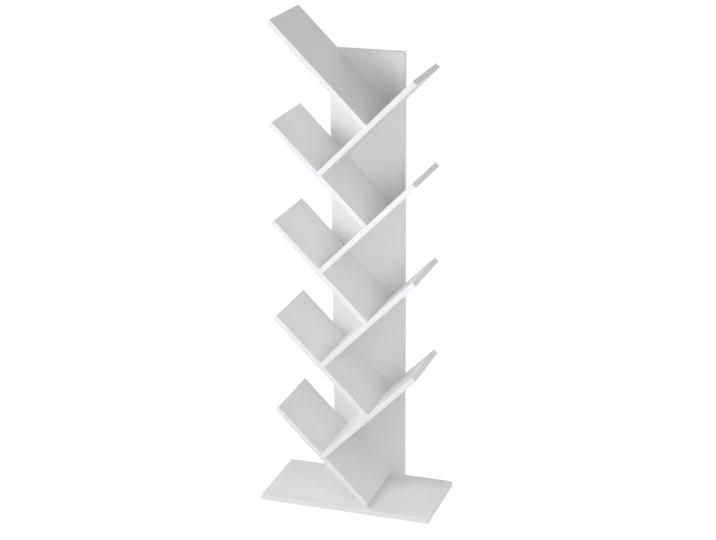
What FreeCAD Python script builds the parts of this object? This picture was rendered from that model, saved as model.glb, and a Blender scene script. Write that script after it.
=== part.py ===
import FreeCAD, Part
import os

import Sketcher

# A tree shaped bookshelf. Nine equal boards lean left and right in turn, each standing square on the
# middle of the one below, in front of an upright that rises from a flat base. The boards are faced
# panels with edging strips, screwed and dowelled together. Millimetres, +Z up, front towards -Y,
# origin on the floor under the middle of the base.

SHELF_COUNT = 9

SIZES = {
    "base_width": (500, "base, left to right"),
    "base_depth": (250, "base, front to back"),
    "base_thickness": (15, "base panel"),
    "upright_width": (215, "upright, left to right"),
    "upright_thickness": (15, "upright panel"),
    "upright_rise": (162, "upright above the foot of the top shelf"),
    "board_thickness": (15, "shelf board"),
    "shelf_depth": (220, "shelf, front to back"),
    "nook_side": (180, "clear side of a square nook, from a shelf's lower end to the board standing on it"),
    "wing_length": (180, "shelf beyond the board standing on it, up to the tip"),
    "edging_thickness": (1, "edging strip"),
    "edging_round": (0.6, "rounding along the outside of an edging strip"),
    "screw_diameter": (6.4, "screw, over the thread"),
    "screw_length": (50, "screw, head included"),
    "screw_point_diameter": (4, "flat end of the screw"),
    "screw_point_length": (4, "tapered end of the screw"),
    "screw_head_diameter": (10, "countersunk head"),
    "screw_head_recess": (0.2, "head below the surface"),
    "screw_end_room": (2, "hole beyond the end of a screw"),
    "shank_clearance": (0.4, "hole that a screw passes, over the screw"),
    "thread_clearance": (0.1, "hole that a thread holds in, over the thread"),
    "socket_width": (4, "hexagon socket across flats"),
    "socket_depth": (2.6, "hexagon socket"),
    "joint_screw_inset": (50, "joint screw from the front and back edges of its shelf"),
    "upright_screw_foot": (45, "lower upright screw from the lower end of its shelf"),
    "upright_screw_corner": (30, "upper upright screw from the corner of its nook"),
    "base_screw_spacing": (70, "base screws, one to the next"),
    "dowel_diameter": (8, "dowel"),
    "dowel_length": (30, "dowel"),
    "dowel_chamfer": (1, "dowel ends"),
    "dowel_seat": (9, "dowel in the face of a panel"),
    "dowel_clearance": (0.1, "dowel hole over the dowel"),
    "dowel_end_room": (0.5, "dowel hole beyond the dowel, at each end"),
    "base_dowel_spacing": (70, "base dowels, one to the other"),
    "cap_diameter": (13, "screw cap"),
    "cap_thickness": (1.2, "screw cap"),
    "cap_chamfer": (0.5, "rim of a screw cap"),
    "cap_peg_length": (2, "peg of a screw cap"),
    "cap_peg_clearance": (0.2, "socket over the peg, across flats"),
    "glide_height": (5, "floor glide"),
    "glide_diameter": (22, "floor glide against the base"),
    "glide_sole_diameter": (18, "floor glide on the floor"),
    "glide_inset": (30, "floor glide from the edges of the base"),
    "nail_diameter": (2.2, "nail of a glide"),
    "nail_head_diameter": (7, "nail head, moulded into its glide"),
    "nail_head_thickness": (1.2, "nail head"),
    "nail_head_cover": (2.4, "glide under the nail head"),
    "nail_hold": (10, "nail in the base"),
    "nail_point_length": (2, "nail"),
    "nail_clearance": (0.1, "nail hole over the nail"),
    "nail_end_room": (0.5, "nail hole beyond the nail"),
}

# Places that follow from the sizes. A shelf's own axes run from its lower end to its tip, across its
# depth, and from its underside to its upper face. Left-leaning shelves count depth from the back,
# right-leaning ones from the front. Boards at 45 degrees meet square and stack plumb.
SHELF_LENGTH = "(Sizes.nook_side + Sizes.board_thickness + Sizes.wing_length)"
JOINT_CENTRE = "(Sizes.nook_side + Sizes.board_thickness / 2)"
BOARD_MIDDLE = "(Sizes.board_thickness / 2)"
SHELF_MIDDLE = "(Sizes.shelf_depth / 2)"
SHELF_RISE = "((Sizes.nook_side + Sizes.board_thickness) / sqrt(2))"
FOOT_OFFSET = "((Sizes.nook_side - Sizes.board_thickness) / (2 * sqrt(2)))"
BASE_TOP = "(Sizes.glide_height + Sizes.base_thickness)"
BASE_BACK = "(Sizes.base_depth / 2)"
UPRIGHT_HEIGHT = f"({SHELF_COUNT - 1} * {SHELF_RISE} + Sizes.upright_rise)"
UPRIGHT_FRONT = f"({BASE_BACK} - Sizes.upright_thickness)"
UPRIGHT_MIDDLE = f"({BASE_BACK} - Sizes.upright_thickness / 2)"
SHELF_FRONT = f"({UPRIGHT_FRONT} - Sizes.shelf_depth)"
UPRIGHT_SCREW_STATIONS = ("Sizes.upright_screw_foot", "(Sizes.nook_side - Sizes.upright_screw_corner)")
JOINT_SCREW_ROWS = ("Sizes.joint_screw_inset", "(Sizes.shelf_depth - Sizes.joint_screw_inset)")
BASE_SCREW_STATIONS = ("-Sizes.base_screw_spacing", "0", "Sizes.base_screw_spacing")
BASE_DOWEL_STATIONS = ("-Sizes.base_dowel_spacing / 2", "Sizes.base_dowel_spacing / 2")
GLIDE_X = "(Sizes.base_width / 2 - Sizes.glide_inset)"
GLIDE_Y = f"({BASE_BACK} - Sizes.glide_inset)"

# Holes: a screw passes the first panel and holds in the second, a dowel sits in both.
SHANK_HOLE = "Sizes.screw_diameter + Sizes.shank_clearance"
THREAD_HOLE = "Sizes.screw_diameter + Sizes.thread_clearance"
DOWEL_HOLE = "Sizes.dowel_diameter + Sizes.dowel_clearance"
DOWEL_FACE_DEPTH = "Sizes.dowel_seat + Sizes.dowel_end_room"
DOWEL_END_DEPTH = "Sizes.dowel_length - Sizes.dowel_seat + Sizes.dowel_end_room"

X_WAY = FreeCAD.Vector(1, 0, 0)
Y_WAY = FreeCAD.Vector(0, 1, 0)
Z_WAY = FreeCAD.Vector(0, 0, 1)

doc = FreeCAD.newDocument("TreeBookshelf")
sheet = doc.addObject("Spreadsheet::Sheet", "Sizes")
for row, (name, (value, meaning)) in enumerate(SIZES.items(), start=1):
    sheet.set(f"A{row}", meaning)
    sheet.set(f"B{row}", str(value))
    sheet.setAlias(f"B{row}", name)
doc.recompute()

pieces = []


def facing(x_way, y_way):
    """Turn a piece so that its own X and Y axes point these ways."""
    return FreeCAD.Rotation(x_way, y_way, x_way.cross(y_way), "XYZ")


def place(thing, x, y, z, turn=FreeCAD.Rotation()):
    """Set a thing at a point given by three formulas, turned as asked."""
    thing.Placement = FreeCAD.Placement(FreeCAD.Vector(), turn)
    thing.setExpression("Placement.Base.x", x)
    thing.setExpression("Placement.Base.y", y)
    thing.setExpression("Placement.Base.z", z)


def new_body(label):
    """Start a solid with this name."""
    body = doc.addObject("PartDesign::Body", label)
    body.Label = label
    return body


def draw_on(body, role, offset="0"):
    """Open a drawing on one of a solid's own planes, moved along the plane's normal."""
    planes = {feature.Role: feature for feature in body.Origin.OriginFeatures}
    drawing = body.newObject("Sketcher::SketchObject", body.Label + "_drawing")
    drawing.AttachmentSupport = [(planes[role], "")]
    drawing.MapMode = "FlatFace"
    drawing.setExpression("AttachmentOffset.Base.z", offset)
    return drawing


def tie(drawing, kind, formula, *spot):
    """Hold a drawn spot at a formula."""
    value = drawing.evalExpression(formula)
    constraint = drawing.addConstraint(Sketcher.Constraint(kind, *spot, value))
    drawing.setExpression(f"Constraints[{constraint}]", formula)


def spot_at(drawing, x, y):
    """Work out where two formulas put a spot on a drawing."""
    return FreeCAD.Vector(drawing.evalExpression(x), drawing.evalExpression(y), 0)


def outline(drawing, corners):
    """Draw a closed outline with each corner at two formulas."""
    spots = [spot_at(drawing, x, y) for x, y in corners]
    count = len(spots)
    for index in range(count):
        drawing.addGeometry(Part.LineSegment(spots[index], spots[(index + 1) % count]), False)
    for index in range(count):
        drawing.addConstraint(Sketcher.Constraint("Coincident", index, 2, (index + 1) % count, 1))
    for index, (x, y) in enumerate(corners):
        tie(drawing, "DistanceX", x, -1, 1, index, 1)
        tie(drawing, "DistanceY", y, -1, 1, index, 1)


def rectangle(drawing, left, right, low, high):
    """Draw a rectangle between four formulas."""
    outline(drawing, [(left, low), (right, low), (right, high), (left, high)])


def hexagon(drawing, flats):
    """Draw a hexagon about the origin with this width across flats."""
    half = f"({flats}) / 2"
    corner = f"({flats}) / sqrt(3)"
    outline(drawing, [
        (corner, "0"), (f"{corner} / 2", half), (f"-{corner} / 2", half),
        (f"-{corner}", "0"), (f"-{corner} / 2", f"-{half}"), (f"{corner} / 2", f"-{half}"),
    ])


def circles(drawing, centres, diameter):
    """Draw equal circles, each centre at two formulas."""
    radius = drawing.evalExpression(diameter) / 2
    for x, y in centres:
        circle = drawing.addGeometry(Part.Circle(spot_at(drawing, x, y), Z_WAY, radius), False)
        tie(drawing, "DistanceX", x, -1, 1, circle, 3)
        tie(drawing, "DistanceY", y, -1, 1, circle, 3)
        tie(drawing, "Diameter", diameter, circle)


def pad(body, drawing, length, reverse=False):
    """Raise a drawing to a length."""
    feature = body.newObject("PartDesign::Pad", body.Label + "_pad")
    feature.Profile = drawing
    feature.Reversed = reverse
    feature.setExpression("Length", length)
    doc.recompute()
    return feature


def confirm_cut(body, volume_before):
    """Stop if the last hole took nothing away."""
    doc.recompute()
    if not body.Shape.Volume < volume_before:
        raise RuntimeError(f"{body.Label}: a hole cut nothing")


def pocket(body, drawing, depth, reverse=False):
    """Sink a drawing to a depth, against its normal or, reversed, along it."""
    volume = body.Shape.Volume
    feature = body.newObject("PartDesign::Pocket", body.Label + "_pocket")
    feature.Profile = drawing
    feature.Reversed = reverse
    feature.setExpression("Length", depth)
    confirm_cut(body, volume)


def countersunk_holes(body, drawing):
    """Drill through along the drawing's normal, with seats for flush heads on the drawing's side."""
    doc.recompute()
    volume = body.Shape.Volume
    hole = body.newObject("PartDesign::Hole", body.Label + "_hole")
    hole.Profile = drawing
    hole.ThreadType = "None"
    hole.DepthType = "ThroughAll"
    hole.HoleCutType = "Countersink"
    hole.HoleCutCustomValues = True
    hole.HoleCutCountersinkAngle = 90
    hole.Reversed = True
    hole.setExpression("Diameter", SHANK_HOLE)
    hole.setExpression("HoleCutDiameter", "Sizes.screw_head_diameter + 2 * Sizes.screw_head_recess")
    confirm_cut(body, volume)
    return hole


def repeat_upwards(body, feature, spacing, count):
    """Repeat a feature up a panel."""
    axes = {item.Role: item for item in body.Origin.OriginFeatures}
    pattern = body.newObject("PartDesign::LinearPattern", body.Label + "_pattern")
    pattern.Originals = [feature]
    pattern.Direction = (axes["Z_Axis"], [""])
    pattern.Mode = "Spacing"
    pattern.Occurrences = count
    pattern.setExpression("Offset", spacing)
    body.Tip = pattern
    confirm_cut(body, feature.Shape.Volume)


def turned_body(label, profile):
    """Make a round solid from its half profile: radius and height of each corner."""
    body = new_body(label)
    drawing = draw_on(body, "XZ_Plane")
    outline(drawing, profile)
    feature = body.newObject("PartDesign::Revolution", label + "_turned")
    feature.Profile = drawing
    feature.ReferenceAxis = (drawing, ["V_Axis"])
    feature.Angle = 360
    doc.recompute()
    return body


def copy_of(master, x, y, z, turn=FreeCAD.Rotation()):
    """Set a copy of a piece at three formulas."""
    link = doc.addObject("App::Link", master.Name + "_copy")
    link.LinkedObject = master
    place(link, x, y, z, turn)
    return link


def group(label, copies):
    """Gather copies, which stay separate solids, under one name."""
    gathered = doc.addObject("Part::Compound", label)
    gathered.Label = label
    gathered.Links = copies
    return gathered


def screw_hold(first_panel):
    """Depth of the hole that a screw holds in, after passing the first panel."""
    return f"Sizes.screw_length + Sizes.screw_head_recess - {first_panel} + Sizes.screw_end_room"


# Edging strips lie along X with the glued side at Y = 0 and the panel's thickness along Z.
def edging_strip(label, length, panel_thickness, free_ends):
    """Make a strip that is rounded along its outside and down its free ends."""
    body = new_body(label)
    drawing = draw_on(body, "XY_Plane")
    rectangle(drawing, "0", length, "0", "Sizes.edging_thickness")
    strip = pad(body, drawing, panel_thickness)
    outside = body.Shape.BoundBox.YMax
    ends = {"start": body.Shape.BoundBox.XMin, "finish": body.Shape.BoundBox.XMax}
    seated = [at for end, at in ends.items() if end not in free_ends]
    edges = []
    for index, edge in enumerate(body.Shape.Edges, start=1):
        box = edge.BoundBox
        on_seat = any(abs(box.XMin - at) + abs(box.XMax - at) < box.ZLength for at in seated)
        if abs(box.YMin - outside) + box.YLength < body.Shape.BoundBox.YLength and not on_seat:
            edges.append(f"Edge{index}")
    rounding = body.newObject("PartDesign::Fillet", label + "_rounding")
    rounding.Base = (strip, edges)
    rounding.setExpression("Radius", "Sizes.edging_round")
    doc.recompute()
    return body


def base_panel():
    """Base, with its glides' nails and the upright's screws entering from below."""
    body = new_body("base_panel")
    drawing = draw_on(body, "XY_Plane")
    half_width = "(Sizes.base_width / 2 - Sizes.edging_thickness)"
    half_depth = "(Sizes.base_depth / 2 - Sizes.edging_thickness)"
    rectangle(drawing, f"-{half_width}", half_width, f"-{half_depth}", half_depth)
    pad(body, drawing, "Sizes.base_thickness")
    screw_spots = draw_on(body, "XY_Plane")
    circles(screw_spots, [(x, UPRIGHT_MIDDLE) for x in BASE_SCREW_STATIONS], SHANK_HOLE)
    countersunk_holes(body, screw_spots)
    dowel_spots = draw_on(body, "XY_Plane", "Sizes.base_thickness")
    circles(dowel_spots, [(x, UPRIGHT_MIDDLE) for x in BASE_DOWEL_STATIONS], DOWEL_HOLE)
    pocket(body, dowel_spots, DOWEL_FACE_DEPTH)
    nail_spots = draw_on(body, "XY_Plane")
    corners = [(f"{side}{GLIDE_X}", f"{end}{GLIDE_Y}") for side in ("-", "") for end in ("-", "")]
    circles(nail_spots, corners, "Sizes.nail_diameter + Sizes.nail_clearance")
    pocket(body, nail_spots, "Sizes.nail_hold + Sizes.nail_end_room", reverse=True)
    place(body, "0", "0", "Sizes.glide_height")
    pieces.append(body)


def base_edging():
    """Strips along the front, back and ends of the base."""
    thickness = "Sizes.base_thickness"
    end_length = "Sizes.base_depth - 2 * Sizes.edging_thickness"
    long_strip = edging_strip("base_long_strip", "Sizes.base_width", thickness, ("start", "finish"))
    end_strip = edging_strip("base_end_strip", end_length, thickness, ())
    half_width = "(Sizes.base_width / 2 - Sizes.edging_thickness)"
    half_depth = "(Sizes.base_depth / 2 - Sizes.edging_thickness)"
    strips = [
        copy_of(long_strip, "-Sizes.base_width / 2", f"-{half_depth}", BASE_TOP, facing(X_WAY, -Y_WAY)),
        copy_of(long_strip, "-Sizes.base_width / 2", half_depth, "Sizes.glide_height"),
        copy_of(end_strip, f"-{half_width}", f"-{half_depth}", "Sizes.glide_height", facing(Y_WAY, -X_WAY)),
        copy_of(end_strip, half_width, half_depth, "Sizes.glide_height", facing(-Y_WAY, X_WAY)),
    ]
    pieces.append(group("base_edging", strips))


def upright_screw_place(station):
    """Where a left-leaning shelf's screw lies: from the centre line, and above the shelf's foot."""
    across = f"({FOOT_OFFSET} - ({station} - {BOARD_MIDDLE}) / sqrt(2))"
    above = f"(({station} + {BOARD_MIDDLE}) / sqrt(2))"
    return across, above


def upright_panel():
    """Upright, drilled from behind for every shelf and from below for the base."""
    body = new_body("upright_panel")
    drawing = draw_on(body, "XZ_Plane")
    half_width = "(Sizes.upright_width / 2 - Sizes.edging_thickness)"
    rectangle(drawing, f"-{half_width}", half_width, "0", f"{UPRIGHT_HEIGHT} - Sizes.edging_thickness")
    pad(body, drawing, "Sizes.upright_thickness", reverse=True)
    places = [upright_screw_place(station) for station in UPRIGHT_SCREW_STATIONS]
    left_spots = draw_on(body, "XZ_Plane", "-Sizes.upright_thickness")
    circles(left_spots, places, SHANK_HOLE)
    left_holes = countersunk_holes(body, left_spots)
    repeat_upwards(body, left_holes, f"2 * {SHELF_RISE}", (SHELF_COUNT + 1) // 2)
    right_spots = draw_on(body, "XZ_Plane", "-Sizes.upright_thickness")
    circles(right_spots, [(f"-{x}", f"{z} + {SHELF_RISE}") for x, z in places], SHANK_HOLE)
    right_holes = countersunk_holes(body, right_spots)
    repeat_upwards(body, right_holes, f"2 * {SHELF_RISE}", SHELF_COUNT // 2)
    screw_spots = draw_on(body, "XY_Plane")
    middle = "Sizes.upright_thickness / 2"
    circles(screw_spots, [(x, middle) for x in BASE_SCREW_STATIONS], THREAD_HOLE)
    pocket(body, screw_spots, screw_hold("Sizes.base_thickness"), reverse=True)
    dowel_spots = draw_on(body, "XY_Plane")
    circles(dowel_spots, [(x, middle) for x in BASE_DOWEL_STATIONS], DOWEL_HOLE)
    pocket(body, dowel_spots, DOWEL_END_DEPTH, reverse=True)
    place(body, "0", UPRIGHT_FRONT, BASE_TOP)
    pieces.append(body)


def upright_edging():
    """Strips up the sides of the upright and across its top."""
    top_length = "Sizes.upright_width - 2 * Sizes.edging_thickness"
    side_strip = edging_strip("upright_side_strip", UPRIGHT_HEIGHT, "Sizes.upright_thickness", ("finish",))
    top_strip = edging_strip("upright_top_strip", top_length, "Sizes.upright_thickness", ())
    half_width = "(Sizes.upright_width / 2 - Sizes.edging_thickness)"
    top = f"{BASE_TOP} + {UPRIGHT_HEIGHT} - Sizes.edging_thickness"
    strips = [
        copy_of(side_strip, f"-{half_width}", BASE_BACK, BASE_TOP, facing(Z_WAY, -X_WAY)),
        copy_of(side_strip, half_width, UPRIGHT_FRONT, BASE_TOP, facing(Z_WAY, X_WAY)),
        copy_of(top_strip, f"-{half_width}", BASE_BACK, top, facing(X_WAY, Z_WAY)),
    ]
    pieces.append(group("upright_edging", strips))


class Shelf:
    """One leaning board: where it stands, and which joints it has."""

    def __init__(self, index):
        self.index = index
        self.leans_left = index % 2 == 0
        side = "left" if self.leans_left else "right"
        self.label = f"{side}_shelf_{index // 2 + 1}"
        self.stands_on_base = index == 0
        self.carries_next = index < SHELF_COUNT - 1

    def stand(self, thing):
        """Set a thing made about the shelf's own axes where the shelf is."""
        height = f"{BASE_TOP} + {self.index} * {SHELF_RISE}"
        if self.leans_left:
            turn = facing((Z_WAY - X_WAY).normalize(), -Y_WAY)
            place(thing, FOOT_OFFSET, UPRIGHT_FRONT, height, turn)
        else:
            turn = facing((Z_WAY + X_WAY).normalize(), Y_WAY)
            place(thing, f"-{FOOT_OFFSET}", SHELF_FRONT, height, turn)

    def make_board(self):
        """The board between its edging strips, with the holes of its joints."""
        body = new_body(self.label)
        drawing = draw_on(body, "XY_Plane")
        foot = "Sizes.edging_thickness" if self.stands_on_base else "0"
        tip = f"{SHELF_LENGTH} - Sizes.edging_thickness"
        rectangle(drawing, foot, tip, "Sizes.edging_thickness", "Sizes.shelf_depth - Sizes.edging_thickness")
        pad(body, drawing, "Sizes.board_thickness")
        self.drill_back(body)
        if self.carries_next:
            self.drill_face(body)
        if not self.stands_on_base:
            self.drill_end(body)
        self.stand(body)
        pieces.append(body)

    def drill_back(self, body):
        """Holes in the back edge for the upright's screws."""
        edge = "Sizes.edging_thickness"
        if not self.leans_left:
            edge = "(Sizes.shelf_depth - Sizes.edging_thickness)"
        spots = draw_on(body, "XZ_Plane", f"-{edge}")
        circles(spots, [(station, BOARD_MIDDLE) for station in UPRIGHT_SCREW_STATIONS], THREAD_HOLE)
        depth = screw_hold("Sizes.upright_thickness") + " - Sizes.edging_thickness"
        pocket(body, spots, depth, reverse=not self.leans_left)

    def drill_face(self, body):
        """Holes through the middle of the board for the next board's screws, and its dowel's seat."""
        screw_spots = draw_on(body, "XY_Plane")
        circles(screw_spots, [(JOINT_CENTRE, row) for row in JOINT_SCREW_ROWS], SHANK_HOLE)
        countersunk_holes(body, screw_spots)
        dowel_spots = draw_on(body, "XY_Plane", "Sizes.board_thickness")
        circles(dowel_spots, [(JOINT_CENTRE, SHELF_MIDDLE)], DOWEL_HOLE)
        pocket(body, dowel_spots, DOWEL_FACE_DEPTH)

    def drill_end(self, body):
        """Holes in the lower end for the screws and the dowel of the board below."""
        screw_spots = draw_on(body, "YZ_Plane")
        circles(screw_spots, [(row, BOARD_MIDDLE) for row in JOINT_SCREW_ROWS], THREAD_HOLE)
        pocket(body, screw_spots, screw_hold("Sizes.board_thickness"), reverse=True)
        dowel_spots = draw_on(body, "YZ_Plane")
        circles(dowel_spots, [(SHELF_MIDDLE, BOARD_MIDDLE)], DOWEL_HOLE)
        pocket(body, dowel_spots, DOWEL_END_DEPTH, reverse=True)

    def make_edging(self, front_strip, back_strip, tip_strip):
        """Strips along the front and back and across the tip, and across a foot that shows."""
        low_strip, high_strip = front_strip, back_strip
        if self.leans_left:
            low_strip, high_strip = back_strip, front_strip
        far_side = "Sizes.shelf_depth - Sizes.edging_thickness"
        tip = f"{SHELF_LENGTH} - Sizes.edging_thickness"
        edge = "Sizes.edging_thickness"
        strips = [
            copy_of(low_strip, "0", edge, "Sizes.board_thickness", facing(X_WAY, -Y_WAY)),
            copy_of(high_strip, "0", far_side, "0"),
            copy_of(tip_strip, tip, far_side, "0", facing(-Y_WAY, X_WAY)),
        ]
        if self.stands_on_base:
            strips.append(copy_of(tip_strip, edge, edge, "0", facing(Y_WAY, -X_WAY)))
        edging = group(self.label + "_edging", strips)
        self.stand(edging)
        pieces.append(edging)


def shelf_strips():
    """Front, back and tip strips of a shelf: the back one has holes for the upright's screws."""
    front = edging_strip("shelf_front_strip", SHELF_LENGTH, "Sizes.board_thickness", ("finish",))
    back = edging_strip("shelf_back_strip", SHELF_LENGTH, "Sizes.board_thickness", ("finish",))
    spots = draw_on(back, "XZ_Plane")
    circles(spots, [(station, BOARD_MIDDLE) for station in UPRIGHT_SCREW_STATIONS], SHANK_HOLE)
    pocket(back, spots, "Sizes.edging_thickness")
    tip_length = "Sizes.shelf_depth - 2 * Sizes.edging_thickness"
    tip = edging_strip("shelf_tip_strip", tip_length, "Sizes.board_thickness", ())
    return front, back, tip


# Round pieces point up Z: a screw's head and a dowel's first end lie at Z = 0.
def screw():
    """Countersunk screw with a hexagon socket."""
    head = "Sizes.screw_head_diameter / 2"
    shank = "Sizes.screw_diameter / 2"
    point = "Sizes.screw_point_diameter / 2"
    body = turned_body("screw", [
        ("0", "0"), (head, "0"), (shank, f"{head} - {shank}"),
        (shank, "Sizes.screw_length - Sizes.screw_point_length"),
        (point, "Sizes.screw_length"), ("0", "Sizes.screw_length"),
    ])
    socket = draw_on(body, "XY_Plane")
    hexagon(socket, "Sizes.socket_width")
    pocket(body, socket, "Sizes.socket_depth", reverse=True)
    return body


def dowel():
    """Round wooden dowel with chamfered ends."""
    side = "Sizes.dowel_diameter / 2"
    end = f"{side} - Sizes.dowel_chamfer"
    return turned_body("dowel", [
        ("0", "0"), (end, "0"), (side, "Sizes.dowel_chamfer"),
        (side, "Sizes.dowel_length - Sizes.dowel_chamfer"),
        (end, "Sizes.dowel_length"), ("0", "Sizes.dowel_length"),
    ])


def screw_cap():
    """Flat round cap below Z = 0, with a peg up into the screw's socket."""
    rim = "Sizes.cap_diameter / 2"
    body = turned_body("cap", [
        ("0", "-Sizes.cap_thickness"), (f"{rim} - Sizes.cap_chamfer", "-Sizes.cap_thickness"),
        (rim, "Sizes.cap_chamfer - Sizes.cap_thickness"), (rim, "0"), ("0", "0"),
    ])
    peg = draw_on(body, "XY_Plane")
    hexagon(peg, "Sizes.socket_width - Sizes.cap_peg_clearance")
    pad(body, peg, "Sizes.cap_peg_length")
    return body


def nail():
    """Nail with its head's underside at Z = 0."""
    side = "Sizes.nail_diameter / 2"
    head = "Sizes.nail_head_diameter / 2"
    top = "(Sizes.glide_height - Sizes.nail_head_cover + Sizes.nail_hold)"
    return turned_body("nail", [
        ("0", "0"), (head, "0"), (head, "Sizes.nail_head_thickness"), (side, "Sizes.nail_head_thickness"),
        (side, f"{top} - Sizes.nail_point_length"), ("0", top),
    ])


def glide(label, x, y):
    """Floor glide moulded round the head of its nail."""
    hole = "(Sizes.nail_diameter + Sizes.nail_clearance) / 2"
    head = "Sizes.nail_head_diameter / 2"
    head_top = "Sizes.nail_head_cover + Sizes.nail_head_thickness"
    body = turned_body(label, [
        ("0", "0"), ("Sizes.glide_sole_diameter / 2", "0"),
        ("Sizes.glide_diameter / 2", "Sizes.nail_head_cover"),
        ("Sizes.glide_diameter / 2", "Sizes.glide_height"), (hole, "Sizes.glide_height"),
        (hole, head_top), (head, head_top), (head, "Sizes.nail_head_cover"), ("0", "Sizes.nail_head_cover"),
    ])
    place(body, x, y, "0")
    pieces.append(body)


def glides():
    """Four glides near the corners of the base, and their nails."""
    nail_body = nail()
    nails = []
    for side, x in (("left", f"-{GLIDE_X}"), ("right", GLIDE_X)):
        for end, y in (("front", f"-{GLIDE_Y}"), ("back", GLIDE_Y)):
            glide(f"glide_{end}_{side}", x, y)
            nails.append(copy_of(nail_body, x, y, "Sizes.nail_head_cover"))
    pieces.append(group("glide_nails", nails))


def at_each_joint(label, shelves, copies):
    """Repeat what joins a shelf to the board below, given about the shelf's own axes, at every joint."""
    joint_set = group(label + "_of_one_joint", copies)
    repeats = []
    for shelf in shelves:
        if not shelf.stands_on_base:
            repeat = copy_of(joint_set, "0", "0", "0")
            shelf.stand(repeat)
            repeats.append(repeat)
    pieces.append(group(label, repeats))


def shelf_joints(shelves, screw_body, dowel_body):
    """Screws, caps and a dowel from each board up into the end of the next."""
    along = facing(Y_WAY, Z_WAY)
    head = "Sizes.screw_head_recess - Sizes.board_thickness"
    screws = [copy_of(screw_body, head, row, BOARD_MIDDLE, along) for row in JOINT_SCREW_ROWS]
    at_each_joint("joint_screws", shelves, screws)
    cap_body = screw_cap()
    caps = [copy_of(cap_body, "-Sizes.board_thickness", row, BOARD_MIDDLE, along) for row in JOINT_SCREW_ROWS]
    at_each_joint("joint_caps", shelves, caps)
    dowels = [copy_of(dowel_body, "-Sizes.dowel_seat", SHELF_MIDDLE, BOARD_MIDDLE, along)]
    at_each_joint("joint_dowels", shelves, dowels)


def upright_screws(shelves, screw_body):
    """Screws from behind the upright into the back edge of each shelf."""
    head = f"{BASE_BACK} - Sizes.screw_head_recess"
    screws = []
    for shelf in shelves:
        for station in UPRIGHT_SCREW_STATIONS:
            across, above = upright_screw_place(station)
            x = across if shelf.leans_left else f"-{across}"
            z = f"{BASE_TOP} + {shelf.index} * {SHELF_RISE} + {above}"
            screws.append(copy_of(screw_body, x, head, z, facing(X_WAY, Z_WAY)))
    pieces.append(group("upright_screws", screws))


def base_joint(screw_body, dowel_body):
    """Screws and dowels from the base up into the foot of the upright."""
    head = "Sizes.glide_height + Sizes.screw_head_recess"
    screws = [copy_of(screw_body, x, UPRIGHT_MIDDLE, head) for x in BASE_SCREW_STATIONS]
    pieces.append(group("base_screws", screws))
    seat = f"{BASE_TOP} - Sizes.dowel_seat"
    dowels = [copy_of(dowel_body, x, UPRIGHT_MIDDLE, seat) for x in BASE_DOWEL_STATIONS]
    pieces.append(group("base_dowels", dowels))


def write_pieces():
    """Check every object and every piece, then write each piece to its own file."""
    doc.recompute()
    for thing in doc.Objects:
        if "Invalid" in thing.State or "Error" in thing.State:
            raise RuntimeError(f"{thing.Label} failed: {thing.State}")
    for piece in pieces:
        if piece.Shape.isNull() or not piece.Shape.isValid():
            raise RuntimeError(f"{piece.Label} has no valid shape")
    os.makedirs("parts", exist_ok=True)
    for piece in pieces:
        piece.Shape.exportStep(f"parts/{piece.Label}.step")
        print(piece.Label, len(piece.Shape.Solids), "solids", round(piece.Shape.Volume), "mm3")


shelves = [Shelf(index) for index in range(SHELF_COUNT)]
base_panel()
base_edging()
upright_panel()
upright_edging()
strips = shelf_strips()
for shelf in shelves:
    shelf.make_board()
    shelf.make_edging(*strips)
screw_body = screw()
dowel_body = dowel()
shelf_joints(shelves, screw_body, dowel_body)
upright_screws(shelves, screw_body)
base_joint(screw_body, dowel_body)
glides()
write_pieces()
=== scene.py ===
"""A white tree shaped bookshelf, dressed round its CAD model. Metres, +Z up, front towards -Y."""

import logging
import math
from collections.abc import Sequence
from dataclasses import dataclass
from enum import Enum

import bmesh
import bpy
import numpy as np
from bmesh.types import BMesh, BMFace, BMVert
from bpy.types import Material, Mesh, Node, NodeSocket, NodeTree, Object
from mathutils import Matrix, Vector


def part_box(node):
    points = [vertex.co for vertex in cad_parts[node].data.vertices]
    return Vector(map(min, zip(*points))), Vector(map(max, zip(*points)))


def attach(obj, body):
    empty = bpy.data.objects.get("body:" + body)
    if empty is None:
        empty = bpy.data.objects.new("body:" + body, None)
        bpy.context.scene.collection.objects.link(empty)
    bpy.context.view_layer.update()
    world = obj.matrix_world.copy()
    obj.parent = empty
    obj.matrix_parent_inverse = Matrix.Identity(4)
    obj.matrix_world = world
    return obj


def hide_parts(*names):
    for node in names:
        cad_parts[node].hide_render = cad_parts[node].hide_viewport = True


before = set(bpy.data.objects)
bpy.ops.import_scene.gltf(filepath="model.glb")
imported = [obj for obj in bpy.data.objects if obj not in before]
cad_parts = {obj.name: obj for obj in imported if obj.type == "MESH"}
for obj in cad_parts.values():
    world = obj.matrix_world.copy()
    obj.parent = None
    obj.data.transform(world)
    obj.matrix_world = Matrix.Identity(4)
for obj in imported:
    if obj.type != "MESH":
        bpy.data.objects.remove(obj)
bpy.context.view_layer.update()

LOG = logging.getLogger("tree_bookshelf")
ROOT_BODY = "root"

MILLIMETRE = 0.001
MERGE_DISTANCE = 1e-6
END_SLICE = 0.1 * MILLIMETRE
SMOOTH_ANGLE = math.radians(35.0)
FULL_TURN = 2.0 * math.pi
UP = Vector((0.0, 0.0, 1.0))

Colour = tuple[float, float, float]
Profile = Sequence[tuple[float, float]]

PLAIN_WHITE: Colour = (1.0, 1.0, 1.0)
COOL_WHITE: Colour = (0.97, 0.972, 1.0)


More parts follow.
